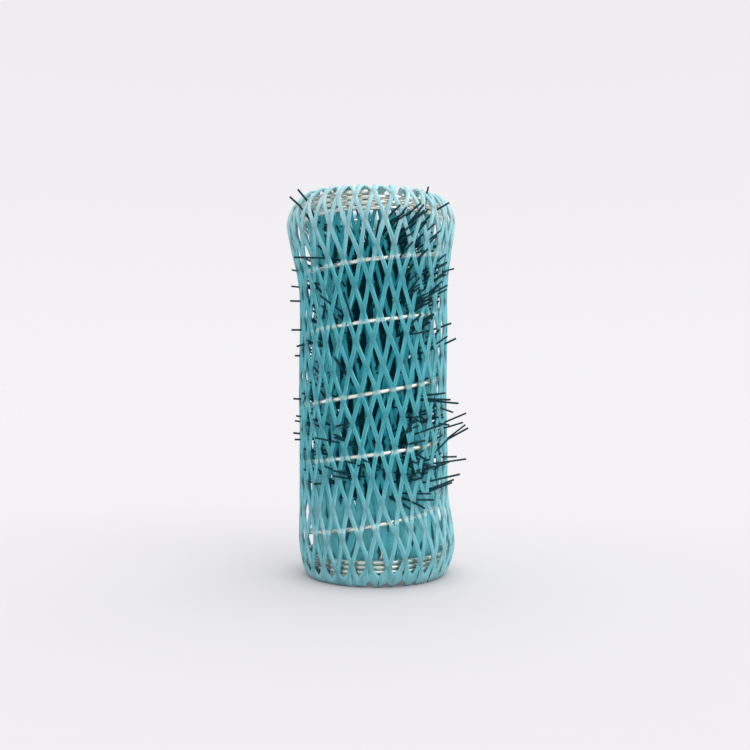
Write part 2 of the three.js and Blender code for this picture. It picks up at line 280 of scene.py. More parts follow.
def pack_underside(angle):
    """Height of the lowest turn of the closed pack at the spring's top at an angle."""
    part = (angle / TAU) % 1
    heights = [spring_height(turn + part) for turn in range(TURNS)]
    return min(height for height in heights if height > PACK_START)


def add_tube_faces(first, rings, sides, faces):
    """Closes rings of points, which run anticlockwise seen from the tube's far end, into a tube."""
    for k in range(rings - 1):
        for s in range(sides):
            low, high = first + k * sides, first + (k + 1) * sides
            faces.append([low + s, low + (s + 1) % sides, high + (s + 1) % sides, high + s])
    faces.append([first + s for s in reversed(range(sides))])
    faces.append([first + (rings - 1) * sides + s for s in range(sides)])


NO_TUBE_STARTS_SO = (0.3, 0.5, 0.81)


def add_tube(path, radius, sides, points, faces):
    """Adds a closed tube along a path. Its section turns as little as it can."""
    path = np.asarray(path, float)
    tangent = np.gradient(path, axis=0)
    tangent /= np.linalg.norm(tangent, axis=1)[:, None]
    normal = np.cross(tangent[0], NO_TUBE_STARTS_SO)
    turn = np.arange(sides)[:, None] / sides * TAU
    first = len(points)
    for centre, t in zip(path, tangent):
        normal = normal - t * np.dot(normal, t)
        normal /= np.linalg.norm(normal)
        side = np.cross(t, normal)
        points.extend(centre + radius * (np.cos(turn) * normal + np.sin(turn) * side))
    add_tube_faces(first, len(path), sides, faces)


def sideways(height):
    """How far the net and the spring stand to the right of the axis."""
    return FOOT_LEAN * hump(height, *FOOT_LEAN_AT) + TOP_LEAN * hump(height, *TOP_LEAN_AT)


def make_spring():
    """One length of wire that follows SPRING_TURNS."""
    turns = np.linspace(0, TURNS, TURNS * SPRING_STEPS + 1)
    path = np.array([polar(TAU * t, SPRING_RADIUS, spring_height(t)) for t in turns])
    path[:, 0] += sideways(path[:, 2])
    points, faces = [], []
    add_tube(path, SPRING_WIRE / 2, SPRING_SIDES, points, faces)
    return mesh_object("spring_coil", points, faces)


# Net sleeve --------------------------------------------------------------------------------------

# The net's middle surface as (radius, height), from the edge tucked into the foot, round the foot's
# fold, up the outside, round the top's fold and down to the edge tucked into the top.
HALF = STRAND_LIFT + STRAND_THICKNESS / 2
MERIDIAN = [
    (TUCK - 1.0, TUCK_DEPTH),
    (TUCK - 0.8, 20.0),
    (TUCK - 0.4, 11.0),
    (TUCK - 0.1, 6.0),
    (TUCK - 0.05, 2.4),
    (10.6, 1.1),
    (11.1, HALF),
    (11.75, 0.75),
    (12.15, 1.6),
    (12.5, 2.8),
    (12.78, 4.2),
    (12.93, 6.0),
    (12.73, 9.0),
    (12.37, 12.5),
    (WAIST, 17.0),
    (WAIST, 26.0),
    (WAIST, 36.0),
    (WAIST, 43.5),
    (12.3, 47.2),
    (12.6, 50.3),
    (13.15, 53.3),
    (13.7, 56.2),
    (13.97, 58.7),
    (13.7, 60.3),
    (13.05, 61.5),
    (12.2, LENGTH - 0.6),
    (11.4, LENGTH - HALF),
    (10.9, LENGTH - 1.0),
    (TUCK, LENGTH - 2.6),
    (TUCK - 0.1, LENGTH - 6.0),
    (TUCK - 0.4, LENGTH - 11.0),
    (TUCK - 0.6, LENGTH - 20.0),
    (TUCK - 0.6, LENGTH - TUCK_DEPTH),
]


def smooth_path(points, steps):
    """A Catmull-Rom curve through the points, as many small steps."""
    p = np.array(points, float)
    p = np.vstack([2 * p[0] - p[1], p, 2 * p[-1] - p[-2]])
    t = np.linspace(0, 1, steps, endpoint=False)[:, None]
    pieces = []
    for a, b, c, d in zip(p, p[1:], p[2:], p[3:]):
        bend, curve = 2 * a - 5 * b + 4 * c - d, 3 * b - a - 3 * c + d
        pieces.append(0.5 * (2 * b + (c - a) * t + bend * t**2 + curve * t**3))
    return np.vstack([*pieces, p[-2:-1]])


meridian = smooth_path(MERIDIAN, MERIDIAN_STEPS)
along_meridian = np.concatenate([[0], np.cumsum(np.linalg.norm(np.diff(meridian, axis=0), axis=1))])
meridian_tangent = np.gradient(meridian, along_meridian, axis=0)
meridian_tangent /= np.linalg.norm(meridian_tangent, axis=1)[:, None]
NET_RUN = along_meridian[-1]
FOOT_RUN = along_meridian[np.argmin(meridian[:, 1])]
CROWN_RUN = along_meridian[np.argmax(meridian[:, 1])]


def on_meridian(run, table):
    """The radial and the upright part, at a run, of a table that goes with the meridian."""
    return [np.interp(run, along_meridian, table[:, k]) for k in (0, 1)]


def waves(table, angle, along):
    """The sum of a table's waves at an angle and a place along the net."""
    return sum(size * np.sin(count * angle + turn * along + phase) for size, count, turn, phase in table)


def on_net(angle, run, out=0.0):
    """Points of the net: their angle, how far along the meridian, and how far out of the surface."""
    radius, height = on_meridian(run, meridian)
    tangent_radius, tangent_height = on_meridian(run, meridian_tangent)
    from_fold = np.minimum(run - FOOT_RUN, CROWN_RUN - run)
    ripple = fade(from_fold, 0, FOLD_EASE) * waves(RIPPLES, angle, height)
    crumple = fade(-from_fold, CRUMPLE_START, FOLD_EASE) * (CRUMPLE_DEPTH + waves(CRUMPLES, angle, run))
    radius = radius + ripple - crumple
    points = polar(angle, radius + out * tangent_height, height - out * tangent_radius).T
    points[..., 0] += sideways(height)
    return points


class Strands:
    """One of the net's two sets of strands. They all wind the same way: twist is the angle they turn
    through in a millimetre, and dip is how far they swing to the left of that at DIP_AT."""

    def __init__(self, count, twist, phase, dip, lift, seed):
        self.count, self.twist, self.phase, self.dip, self.lift = count, twist, phase, dip, lift
        self.spacing = TAU / count
        random = np.random.default_rng(seed)
        self.sway_phases = random.uniform(0, TAU, (count, len(SWAYS)))

    def angle(self, number, run):
        """Where a strand lies at a run along the meridian. Number need not be whole."""
        up = run - FOOT_RUN
        to_left = self.dip * hump(up, *DIP_AT) + FOOT_TURN * hump(up, 0, FOOT_TURN_REACH)
        return self.phase + number * self.spacing + self.twist * up - to_left

    def number(self, angle, run):
        """The number of the strand, or the place between two, that lies at an angle and run."""
        return (angle - self.angle(0, run)) / self.spacing

    def swayed(self, number, run):
        """The angle of a whole-numbered strand with its own small wander."""
        phases = self.sway_phases[number]
        sway = sum(size * np.sin(run / reach + phase) for (size, reach), phase in zip(SWAYS, phases))
        tucked = fade(FOOT_RUN - run, 0, TUCK_SLACK_EASE) + fade(run - CROWN_RUN, 0, TUCK_SLACK_EASE)
        return self.angle(number, run) + sway * (1 + TUCK_SLACK * tucked)


rising = Strands(count=30, twist=0.0197, phase=math.radians(3.3), dip=0, lift=-STRAND_LIFT, seed=3)
falling = Strands(
    count=28, twist=-0.0288, phase=math.radians(2.1), dip=math.radians(1.8), lift=STRAND_LIFT, seed=4
)
SCALLOPS = (rising.count + falling.count) // 2  # round the top's fold


def strand_runs(strands, number):
    """Where a strand's sections lie along the meridian: closest together round the two folds and
    where it passes over the spring."""
    folds = [np.arange(-FOLD_REACH, FOLD_REACH, FOLD_STEP) + fold for fold in (FOOT_RUN, CROWN_RUN)]
    foot_tuck = np.linspace(0, FOOT_RUN - FOLD_REACH, TUCK_SECTIONS, endpoint=False)
    crown_tuck = np.linspace(CROWN_RUN + FOLD_REACH, NET_RUN, TUCK_SECTIONS)
    outside = np.linspace(FOOT_RUN + FOLD_REACH, CROWN_RUN - FOLD_REACH, OUTSIDE_SECTIONS, endpoint=False)
    angles = strands.swayed(number, outside)
    gaps = spring_gaps(angles, on_meridian(outside, meridian)[1])
    over_wire = (gaps[:-2] > gaps[1:-1]) & (gaps[1:-1] < gaps[2:])
    near = [run + step for run in outside[1:-1][over_wire] for step in NEAR_WIRE]
    return np.sort(np.concatenate([foot_tuck, folds[0], outside, near, folds[1], crown_tuck]))


def strand_section():
    """A strand's section, as the places of its points across the strand and out of the net."""
    turn = np.arange(STRAND_SIDES) / STRAND_SIDES * TAU
    across = np.sign(np.cos(turn)) * np.abs(np.cos(turn)) ** SECTION_POWER
    out = np.sign(np.sin(turn)) * np.abs(np.sin(turn)) ** SECTION_POWER
    return across * STRAND_WIDTH / 2, out * STRAND_THICKNESS / 2


def tucks(runs):
    """How far the strands are tucked into the foot and into the top, from 0 to 1."""
    return fade(FOOT_RUN - runs, TUCK_START, TUCK_EASE), fade(runs - CROWN_RUN, TUCK_START, TUCK_EASE)


def strand_widths(number, runs, angles, from_knot):
    """How many times STRAND_WIDTH a strand is wide at each of its sections."""
    past_foot, past_crown = runs - FOOT_RUN, runs - CROWN_RUN
    foot_tuck, crown_tuck = tucks(runs)
    uneven = UNEVEN * np.sin(runs * UNEVEN_TURN + number * UNEVEN_STEP)
    wide = 1 + WEB * hump(from_knot, 0, WEB_REACH) + uneven
    wide += FOOT_SPREAD * foot_tuck * (1 - fade(-past_foot, SPREAD_DEPTH, SPREAD_EASE))
    wide += CROWN_SPREAD * crown_tuck * (1 - fade(past_crown, SPREAD_DEPTH, SPREAD_EASE))
    wide += SIDE_SPREAD * (foot_tuck + crown_tuck) * np.sin(angles) ** 4
    toothed = fade(np.cos(angles - TEETH_MIDDLE), TEETH_END, TEETH_EASE)
    wide += FOOT_FOLD_SPREAD * (1 - toothed) * hump(past_foot, *FOOT_FOLD_AT)
    wide += TEETH_SPREAD * toothed * hump(past_foot, *TEETH_SPREAD_AT)
    wide *= 1 - TEETH_TAPER * toothed * hump(past_foot, *TEETH_TAPER_AT)
    return wide + TOP_FOLD_SPREAD * hump(past_crown, *TOP_FOLD_AT)


def strand_places(runs, angles):
    """What a strand's colour depends on at each of its sections: how far the painted glimpse of the wire
    behind it shows, how far it is tucked in, and how pale painted light makes it."""
    height = on_meridian(runs, meridian)[1]
    foot_tuck, crown_tuck = tucks(runs)
    tucked = foot_tuck + crown_tuck
    # painted glimpse of the lit wire seen through the strand where it lies right behind
    backed = (1 - fade(spring_gaps(angles, height), BACKED_GAP, BACKED_EASE)) * (1 - tucked)
    backed *= fade(np.abs(np.cos(angles)), BACKED_FRONT, BACKED_FRONT_EASE)
    backed *= fade(height, BACKED_LOW, BACKED_END_EASE) * (1 - fade(height, BACKED_HIGH, BACKED_END_EASE))
    # painted light: from above and through the upper bulge, bounced from the floor round the lower bulge
    # and foot, from the key light on the right, and through the bunched sides of the tucked ends
    painted_pale = fade(height, TOP_PALE_HEIGHT, TOP_PALE_EASE) * (1 - crown_tuck)
    painted_pale += (BULGE_PALE + BULGE_TUCK_PALE * foot_tuck) * hump(height, *BULGE_AT)
    painted_pale += FOOT_PALE * hump(height, 0, FOOT_PALE_REACH)
    painted_pale += RIGHT_PALE * fade(np.sin(angles), RIGHT_PALE_FROM, RIGHT_PALE_EASE) * (1 - tucked)
    painted_pale += SIDE_PALE * tucked * np.sin(angles) ** 4
    return np.column_stack([backed, tucked, painted_pale])


def add_strand(strands, number, others, net):
    """Adds a strand to the net's points and faces, and what its material reads at each point: where
    the point lies in the strand's grain, and its section's row of strand_places."""
    runs = strand_runs(strands, number)
    angles = strands.swayed(number, runs)
    crossed = others.number(angles, runs)
    from_knot = (crossed - np.round(crossed)) * others.spacing / abs(strands.twist - others.twist)
    scallop = SCALLOP * np.cos(SCALLOPS * (angles - SCALLOP_MIDDLE)) * hump(runs, CROWN_RUN, SCALLOP_REACH)
    middle = on_net(angles, runs, strands.lift + scallop)
    normal = on_net(angles, runs, strands.lift + scallop + OUT_STEP) - middle
    normal /= np.linalg.norm(normal, axis=1)[:, None]
    side = np.cross(normal, np.gradient(middle, axis=0))
    side /= np.linalg.norm(side, axis=1)[:, None]
    wide = strand_widths(number, runs, angles, from_knot)
    places = strand_places(runs, angles)
    clear = fade(np.abs(from_knot), GRAIN_START, GRAIN_EASE)
    length = np.concatenate([[0], np.cumsum(np.linalg.norm(np.diff(middle, axis=0), axis=1))])
    grain = GRAIN_STEP * number + GRAIN_FALLING * (strands is falling)
    first = len(net["points"])
    for k in range(len(runs)):
        for across, out in zip(*strand_section()):
            net["points"].append(middle[k] + side[k] * across * wide[k] + normal[k] * out)
            net["grain"].append((across * clear[k], length[k], grain))
            net["place"].append(places[k])
    add_tube_faces(first, len(runs), STRAND_SIDES, net["faces"])


def make_net():
    """All strands of both sets in one mesh, with what the material reads at each point."""
    net = {"points": [], "faces": [], "grain": [], "place": []}
    for strands, others in ((rising, falling), (falling, rising)):
        for number in range(strands.count):
            add_strand(strands, number, others, net)
    piece = mesh_object("net_mesh", net["points"], net["faces"])
    for key in ("grain", "place"):
        values = piece.data.attributes.new(key, "FLOAT_VECTOR", "POINT")
        values.data.foreach_set("vector", np.ravel(net[key]))
    return piece


def in_window(angle, run):
    """The nearest place to this one that lies well inside one of the net's open diamonds."""

    def inside(number):
        middle = math.floor(number) + 0.5
        return middle + np.clip(number - middle, -WINDOW_REACH, WINDOW_REACH)

    i = inside(rising.number(angle, run))
    j = inside(falling.number(angle, run))
    new_run = run + (falling.angle(j, run) - rising.angle(i, run)) / (rising.twist - falling.twist)
    return rising.angle(i, new_run), new_run


# Stem --------------------------------------------------------------------------------------------


def stem_angle(height):
    """How far the stem's two strands have turned at a height. It sets in smoothly above the loop."""
    up = max(height - STEM_BOTTOM - STEM_OFFSET, 0)
    return (up - LOOP_EASE * (1 - math.exp(-up / LOOP_EASE))) / STEM_TWIST_PITCH * TAU


def make_stem():
    """One length of wire that runs down, through a loop at the bottom and up again."""
    loop_top = STEM_BOTTOM + STEM_OFFSET
    heights = np.linspace(STEM_TOP, loop_top, STEM_STEPS)
    turns = np.linspace(0, math.pi, LOOP_STEPS)[1:-1]
    down = [polar(stem_angle(z), -STEM_OFFSET, z) for z in heights]
    loop = [polar(0, -STEM_OFFSET * math.cos(a), loop_top - STEM_OFFSET * math.sin(a)) for a in turns]
    up = [polar(stem_angle(z), STEM_OFFSET, z) for z in heights[::-1]]
    path = down + loop + up
    points, faces = [], []
    add_tube(path, STEM_WIRE / 2, STEM_SIDES, points, faces)
    return mesh_object("stem_twist", points, faces)


# Bristles ----------------------------------------------------------------------------------------

# Where bristles have worked out through the net in a bunch, or stand out on their own. Each row is
# the angle and height at which they pass the net, how far either may stray from it, how many there
# are, which way they then point, as a heading round the axis from the front and a rise above the
# horizontal, how far the rise may stray, and the length outside the net. Angles are in degrees.
SPRAYS = [
    # right, from the shoulder down
    (49, 59.4, 1, 0.3, 1, 85, 30, 0, 2.2),
    (43, 61.8, 1, 0.1, 1, 60, 75, 0, 1.3),
    (31, 58.0, 4, 1.2, 4, 80, 52, 16, 1.6),
    (14, 57.5, 5, 1.0, 4, 70, 40, 20, 1.4),
    (27, 55.5, 9, 2.6, 9, 80, 42, 18, 1.5),
    (44, 55.0, 3, 0.8, 3, 85, 40, 5, 1.8),
    (33, 51.8, 4, 1.0, 4, 85, 48, 5, 2.1),
    (51, 50.5, 2, 0.4, 2, 86, 28, 8, 2.2),
    (55, 51.4, 1, 0.2, 1, 86, 38, 0, 1.8),
    (78, 50.6, 1, 0.3, 1, 88, 15, 0, 1.2),
    (52, 48.0, 3, 0.8, 3, 86, 27, 12, 2.4),
    (47, 46.6, 3, 0.8, 3, 86, 36, 10, 2.2),
    (58, 46.9, 2, 0.4, 2, 86, 30, 8, 1.8),
    (30, 47.0, 8, 2.4, 7, 84, 40, 14, 1.8),
    (38, 43.7, 7, 1.6, 6, 85, 33, 12, 2.0),
    (29, 41.3, 1, 0.3, 1, 85, 42, 0, 2.1),
    (45, 41.6, 4, 0.5, 3, 86, 36, 5, 2.0),
    (28, 39.9, 1, 0.3, 1, 85, 8, 0, 2.8),
    (65, 41.2, 2, 0.3, 1, 88, 22, 3, 1.8),
    (74, 38.9, 2, 0.3, 1, 88, 25, 3, 2.2),
    (56, 38.3, 1, 0.3, 1, 88, 35, 0, 2.4),
    (46, 28.9, 1, 0.1, 1, 88, -5, 0, 4.8),
    (45, 29.2, 1, 0.1, 1, 88, -2, 0, 3.6),
    (47, 28.6, 1, 0.1, 1, 88, 0, 0, 3.2),
    (47, 29.7, 1, 0.1, 1, 88, 7, 0, 2.5),
    (48, 29.4, 1, 0.1, 1, 88, 0, 0, 1.4),
    (62, 28.0, 1, 0.2, 1, 88, -20, 0, 2.3),
    (35, 27.7, 1, 0.1, 1, 84, -50, 0, 1.5),
    (25, 27.4, 1, 0.3, 1, 80, -34, 0, 3.1),
    (24, 24.6, 1, 0.3, 1, 80, 55, 0, 3.2),
    (36, 24.7, 2, 0.2, 1, 86, 19, 2, 4.4),
    (73, 25.4, 1, 0.1, 1, 88, 23, 0, 4.0),
    (74, 25.0, 1, 0.1, 1, 88, 17, 0, 3.2),
    (58, 25.6, 1, 0.2, 1, 88, -9, 0, 1.9),
    (29, 25.2, 5, 1.2, 4, 86, 15, 15, 1.2),
    (26, 22.7, 2, 0.2, 1, 86, 14, 2, 2.8),
    (54, 21.1, 2, 0.2, 1, 88, 46, 3, 3.2),
    (82, 22.1, 1, 0.1, 1, 88, 29, 0, 4.2),
    (83, 22.4, 1, 0.1, 1, 88, 38, 0, 4.1),
    (33, 21.3, 1, 0.3, 1, 86, -25, 0, 4.0),
    (60, 19.2, 2, 0.2, 1, 88, 9, 1, 4.7),
    (66, 19.8, 1, 0.1, 1, 88, 2, 0, 2.4),
    (34, 18.6, 8, 1.8, 10, 75, 0, 50, 1.4),
    (46, 18.2, 1, 0.3, 2, 88, 16, 2, 3.5),
    (49, 16.4, 1, 0.1, 1, 88, 13, 0, 4.7),
    (51, 15.7, 2, 0.1, 1, 88, 20, 1, 3.6),
    (52, 15.2, 2, 0.1, 1, 88, 20, 1, 3.2),
    (31, 16.5, 5, 1.0, 3, 84, 15, 5, 1.4),
    (34, 14.9, 1, 0.1, 1, 86, 0, 0, 2.2),
    (33, 14.2, 1, 0.1, 1, 86, 0, 0, 2.8),
    (31, 13.4, 1, 0.2, 2, 84, -20, 8, 2.3),
    (21, 12.8, 2, 0.3, 3, 78, -30, 4, 1.7),
    # left
    (-50, 61.4, 1, 0.1, 1, -80, 50, 0, 2.3),
    (-58, 60.9, 1, 0.1, 1, -80, 42, 0, 2.2),
    (-36, 51.0, 1, 0.1, 1, -84, 1, 0, 4.7),
    (-62, 49.8, 2, 0.3, 1, -88, 40, 0, 2.6),
    (-80, 50.5, 2, 0.2, 1, -90, 9, 0, 1.0),
    (-80, 47.8, 2, 0.2, 1, -90, 2, 5, 1.5),
    (-76, 44.9, 3, 0.3, 1, -90, 6, 5, 1.9),
    (-33, 43.0, 5, 1.0, 2, -86, 42, 6, 2.2),
    (-17, 42.0, 1, 0.3, 1, -60, 70, 0, 3.8),
    (-76, 40.6, 2, 0.3, 1, -90, 0, 0, 1.8),
    (-66, 38.6, 3, 0.4, 1, -88, -16, 0, 1.2),
    (-82, 36.4, 2, 0.3, 1, -90, 0, 0, 1.0),
    (-27, 35.0, 3, 0.5, 2, -80, 50, 6, 1.4),
    (-82, 29.5, 2, 0.4, 1, -90, 3, 0, 1.2),
    (-82, 27.5, 3, 0.4, 1, -90, 2, 0, 0.9),
    (-80, 26.0, 3, 0.6, 2, -90, 10, 4, 0.9),
    (-78, 23.8, 3, 0.5, 2, -90, 3, 4, 1.2),
    (-22, 24.8, 6, 0.8, 3, -84, -20, 8, 1.5),
    (-16, 25.8, 2, 0.3, 1, -80, -12, 0, 1.2),
    (-30, 23.0, 2, 0.3, 1, -84, 12, 0, 3.4),
    (-20, 22.3, 4, 0.4, 3, -84, 20, 6, 2.0),
    (-10, 20.8, 8, 1.6, 5, -80, 20, 40, 1.4),
    (-17, 18.3, 5, 1.2, 4, -84, 12, 8, 1.9),
    (-32, 18.4, 3, 0.4, 1, -84, 22, 0, 1.5),
    (-44, 16.2, 2, 0.3, 1, -86, -4, 0, 1.0),
    # short tips on both sides
    (58, 22.0, 12, 7.0, 10, 62, 25, 20, 0.5),
    (50, 44.0, 12, 9.0, 6, 60, 35, 15, 0.6),
    (-55, 24.0, 14, 9.0, 9, -60, 10, 25, 0.4),
    (-50, 44.0, 14, 9.0, 6, -60, 30, 25, 0.5),
]


def run_at(height):
    """The run along the meridian at which the outside of the net is at a height."""
    outside = (along_meridian >= FOOT_RUN) & (along_meridian <= CROWN_RUN)
    return np.interp(height, meridian[outside, 1], along_meridian[outside])


def bent(start, wall, tip):
    """A path from start that bows until it points at the tip where it passes the wall."""
    inner = wall - start
    outer = (tip - wall) / np.linalg.norm(tip - wall) * np.linalg.norm(inner)
    t = np.linspace(0, 1, THROUGH_POINTS)[:, None]
    curve = (3 * t**2 - 2 * t**3) * inner + (t - 2 * t**2 + t**3) * inner + (t**3 - t**2) * outer
    return np.vstack([start + curve, tip])


def bowed(start, tip, sag):
    """A path from start to tip that bows to one side in its middle."""
    t = np.linspace(0, 1, INNER_POINTS)[:, None]
    return start + (tip - start) * t + sag * np.sin(math.pi * t)


class Brush:
    """Lays out the filaments tuft by tuft."""

    def __init__(self):
        self.random = np.random.default_rng(BRISTLE_SEED)
        self.tufts = []
        for name in sorted(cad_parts):
            if name.startswith("bristle_tuft"):
                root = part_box(name)[0].z / MM + GRIP / 2
                self.tufts.append({"name": name, "root": root, "points": [], "faces": []})

    def through_net(self, start, angle, height, heading, rise, length):
        """The end of a filament that leaves through the net's window nearest to an angle and height,
        and then points along a heading, or straight on where that is None. It is None where the
        spring's wire or one of the net's folds is in its way."""
        r = self.random
        angle, run = in_window(angle, run_at(height))
        if not FOOT_RUN + FOOT_ROOM < run < CROWN_RUN - CROWN_ROOM:
            return None
        wall = on_net(angle, run)
        at_spring = start + (wall - start) * (SPRING_RADIUS / WAIST)
        over_pack = heading is not None and height > TOP_PACK
        if spring_gap(angle, at_spring[2]) < PASSING_ROOM and not over_pack:
            return None
        if heading is None:
            on = (wall - start) / np.linalg.norm(wall - start) + r.normal(0, TIP_STRAY, 3)
        else:
            on = polar(heading, math.cos(rise), math.sin(rise))
        if over_pack:
            under = polar(angle, SPRING_RADIUS + PAST_SPRING, pack_underside(angle) - UNDER_PACK)
            return np.vstack([bowed(start, under, np.zeros(3)), wall, wall + on * length])
        return bent(start, wall, wall + on * length)

    def arm(self, start, angle):
        """One end of an ordinary filament: up and out to a tip inside the net, or at the back also
        just through it."""
        r = self.random
        lean = r.normal(LEAN, LEAN_STRAY)
        if math.cos(angle) < BACK_ARC and r.random() < BACK_SHARE:
            height = start[2] + WAIST * math.tan(lean)
            if height < BACK_TOP:
                length = r.choice([r.uniform(*SHORT_TIP), r.uniform(*LONG_TIP)])
                path = self.through_net(start, angle, height, None, 0, length)
                if path is not None:
                    return path
        reach = r.uniform(*INNER_REACH)
        height = min(start[2] + reach * math.tan(lean), INNER_TOP)
        if spring_gap(angle, height) < WIRE_ROOM:
            reach = min(reach, BEHIND_WIRE)
        return bowed(start, polar(angle, reach, height), r.normal(0, BOW, 3))

    def add(self, tuft, place=None):
        """Adds a filament to a tuft. Its first end goes to its place in a spray, where it has one."""
        r = self.random
        root = tuft["root"] + r.uniform(-ROOT_STRAY, ROOT_STRAY)
        grip = stem_angle(root) + math.pi / 2
        if place and math.cos(grip - place[0]) < 0:
            grip += math.pi
        ends = []
        for side in (0, math.pi):
            start = polar(grip + side, ROOT_RADIUS, root) + r.normal(0, ROOT_JITTER, 3)
            path = self.through_net(start, *place) if place and side == 0 else None
            if path is None:
                path = self.arm(start, grip + side + r.normal(0, FAN))
            ends.append(path)
        path = np.vstack([ends[0][::-1], ends[1]])
        thick = BRISTLE * r.uniform(*BRISTLE_SIZES)
        add_tube(path, thick / 2, BRISTLE_SIDES, tuft["points"], tuft["faces"])

    def fill(self):
        """Adds every tuft's ordinary filaments."""
        for tuft in self.tufts:
            for _ in range(FILAMENTS):
                self.add(tuft)

    def add_sprays(self):
        """Adds the bristles of SPRAYS, each to the tuft whose height suits it best."""
        r = self.random
        for angle, height, wide, high, count, heading, rise, stray, length in SPRAYS:
            for _ in range(count):
                place_angle = math.radians(angle + r.uniform(-wide, wide))
                place_height = height + r.uniform(-high, high)
                tilt = math.radians(rise + r.uniform(-stray, stray))
                turn = math.radians(heading + r.normal(0, HEADING_STRAY))
                root = place_height - WAIST * math.tan(max(tilt, LEAST_RISE) * ROOT_RISE)
                tuft = min(self.tufts, key=lambda t: abs(t["root"] - root))
                long = length * (r.uniform(*LENGTH_SHARES) if count > 1 else 1)
                self.add(tuft, (place_angle, place_height, turn, tilt, long))

    def pieces(self):
        """Makes one object for each tuft."""
        made = []
        for tuft in self.tufts:
            name = tuft["name"]
            piece = mesh_object(name.replace("bristle_tuft", "bristles"), tuft["points"], tuft["faces"])
            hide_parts(name)
            made.append(piece)
        return made


# Materials ---------------------------------------------------------------------------------------


def new_material(name):
    """A new material, its nodes, its links and its shader."""
    material = bpy.data.materials.new(name)
    material.use_nodes = True
    nodes = material.node_tree.nodes
    return material, nodes, material.node_tree.links, nodes["Principled BSDF"]


def noise(nodes, links, scale, detail=3.0, stretch=(1, 1, 1), attribute=None):
    """A noise texture, finer along the axes that stretch enlarges, in object space or in the space
    that a vector attribute gives."""
    mapping = nodes.new("ShaderNodeMapping")
    mapping.inputs["Scale"].default_value = stretch
    texture = nodes.new("ShaderNodeTexNoise")
    texture.inputs["Scale"].default_value = scale
    texture.inputs["Detail"].default_value = detail
    if attribute:
        place = nodes.new("ShaderNodeAttribute")
        place.attribute_name = attribute
        links.new(place.outputs["Vector"], mapping.inputs["Vector"])
    else:
        place = nodes.new("ShaderNodeTexCoord")
        links.new(place.outputs["Object"], mapping.inputs["Vector"])
    links.new(mapping.outputs["Vector"], texture.inputs["Vector"])
    return texture.outputs["Fac"]


def ramp(nodes, links, value, low, high, low_at=0.35, high_at=0.65):
    """A colour that goes from low to high as a value goes from low_at to high_at."""
    node = nodes.new("ShaderNodeValToRGB")
    node.color_ramp.elements[0].position = low_at
    node.color_ramp.elements[0].color = (*low, 1)
    node.color_ramp.elements[1].position = high_at
    node.color_ramp.elements[1].color = (*high, 1)
    links.new(value, node.inputs["Fac"])
    return node.outputs["Color"]


def mixed(nodes, links, first, second, share):
    """Two colours mixed by a share that runs from 0 to 1."""
    node = nodes.new("ShaderNodeMix")
    node.data_type = "RGBA"
    links.new(share, node.inputs["Factor"])
    links.new(first, node.inputs["A"])
    links.new(second, node.inputs["B"])
    return node.outputs["Result"]


def spread(nodes, links, value, low, high):
    """A value from 0 to 1, made to run from low to high."""
    node = nodes.new("ShaderNodeMapRange")
    node.inputs["To Min"].default_value = low
    node.inputs["To Max"].default_value = high
    links.new(value, node.inputs["Value"])
    return node.outputs["Result"]


def bump(nodes, links, value, strength, distance):
    """A normal for a surface that a value raises by up to a distance, in metres."""
    node = nodes.new("ShaderNodeBump")
    node.inputs["Strength"].default_value = strength
    node.inputs["Distance"].default_value = distance
    links.new(value, node.inputs["Height"])
    return node.outputs["Normal"]


def coordinate(nodes, links, space, axis):
    """A point's place along an axis in one of the texture spaces."""
    parts = nodes.new("ShaderNodeSeparateXYZ")
    links.new(nodes.new("ShaderNodeTexCoord").outputs[space], parts.inputs["Vector"])
    return parts.outputs[axis]


def passed(nodes, links, value, low, high, interpolation="LINEAR"):
    """0 where a value is at most low, rising to 1 where it is at least high."""
    node = nodes.new("ShaderNodeMapRange")
    node.interpolation_type = interpolation
    node.inputs["From Min"].default_value = low
    node.inputs["From Max"].default_value = high
    links.new(value, node.inputs["Value"])
    return node.outputs["Result"]


def parts_of(nodes, links, attribute):
    """The three parts of a vector attribute."""
    source = nodes.new("ShaderNodeAttribute")
    source.attribute_name = attribute
    parts = nodes.new("ShaderNodeSeparateXYZ")
    links.new(source.outputs["Vector"], parts.inputs["Vector"])
    return parts.outputs["X"], parts.outputs["Y"], parts.outputs["Z"]


def near_edge(nodes, links):
    """0 along the middle of a strand, and 1 at its two thin edges."""
    across = nodes.new("ShaderNodeMath")
    across.operation = "ABSOLUTE"
    links.new(parts_of(nodes, links, "grain")[0], across.inputs[0])
    return passed(nodes, links, across.outputs["Value"], 0.25 * STRAND_WIDTH, 0.5 * STRAND_WIDTH)


